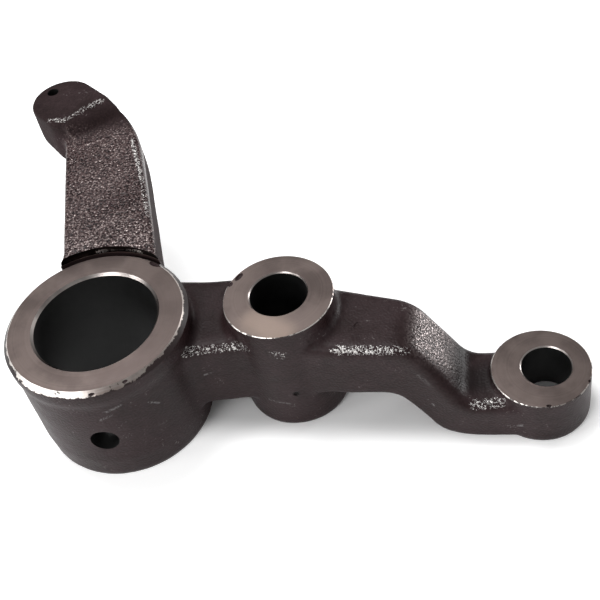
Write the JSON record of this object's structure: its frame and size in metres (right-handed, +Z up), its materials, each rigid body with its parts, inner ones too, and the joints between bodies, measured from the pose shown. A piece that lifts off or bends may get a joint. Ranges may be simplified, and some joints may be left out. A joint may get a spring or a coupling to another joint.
{
  "type": "steering arm",
  "caption": "Cast steering arm with a large machined king pin hub, a middle boss, a bar that steps down to an end lug, and a rear arm ending in a raised stop lug.",
  "frame": {"origin": "on the hub bore's axis at the machined foot plane that the hub, the middle boss and the end lug stand on", "axes": "+Z up along the hub bore, +X from the hub bore to the end bore, +Y towards the rear arm"},
  "size_m": [0.2709, 0.1933, 0.0804],
  "materials": {
    "cast_body": "dark oiled cast skin with machined satin grey faces"
  },
  "bodies": {
    "root": {"steering_arm": "cast_body"}
  },
  "joints": []
}
